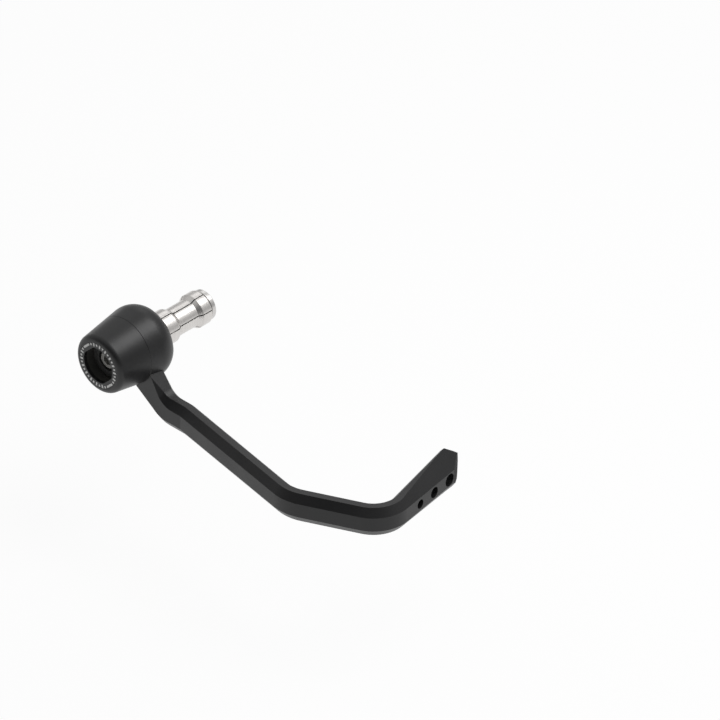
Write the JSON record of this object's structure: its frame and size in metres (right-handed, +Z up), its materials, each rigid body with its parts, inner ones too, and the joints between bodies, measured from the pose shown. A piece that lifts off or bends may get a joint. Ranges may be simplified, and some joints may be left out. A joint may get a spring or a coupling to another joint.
{
  "type": "brake lever guard",
  "caption": "Bent guard arm on a tapered bobbin that an expanding plug clamps into a handlebar end, with a wide drilled tip that curls in front of the lever.",
  "frame": {"origin": "centre of the metal flange face that butts against the bar end, on the bar axis", "axes": "+X inboard along the handlebar, +Z up, and -Y forward along the guard arm, as fitted to the rider's right-hand bar end"},
  "size_m": [0.0915, 0.1946, 0.058],
  "materials": {
    "guard_arm": "satin moulded black",
    "bobbin_outer": "satin turned black",
    "bobbin_inner": "satin turned black",
    "face_ring": "satin black with pale marks",
    "key_cup": "satin dark grey",
    "core_sleeve": "turned",
    "clamp_bolt": "satin steel",
    "bolt_washer": "satin steel",
    "root_cone": "turned",
    "rubber_ring": "matte black",
    "tip_nut": "turned",
    "jaw_1": "polished turned",
    "jaw_2": "polished turned",
    "jaw_3": "polished turned",
    "jaw_4": "polished turned",
    "jaw_5": "polished turned",
    "jaw_6": "polished turned"
  },
  "bodies": {
    "root": {"guard_arm": "guard_arm", "bobbin_outer": "bobbin_outer", "bobbin_inner": "bobbin_inner", "face_ring": "face_ring", "key_cup": "key_cup", "core_sleeve": "core_sleeve", "clamp_bolt": "clamp_bolt", "bolt_washer": "bolt_washer", "root_cone": "root_cone", "rubber_ring": "rubber_ring", "tip_nut": "tip_nut", "jaw_1": "jaw_1", "jaw_2": "jaw_2", "jaw_3": "jaw_3", "jaw_4": "jaw_4", "jaw_5": "jaw_5", "jaw_6": "jaw_6"}
  },
  "joints": []
}
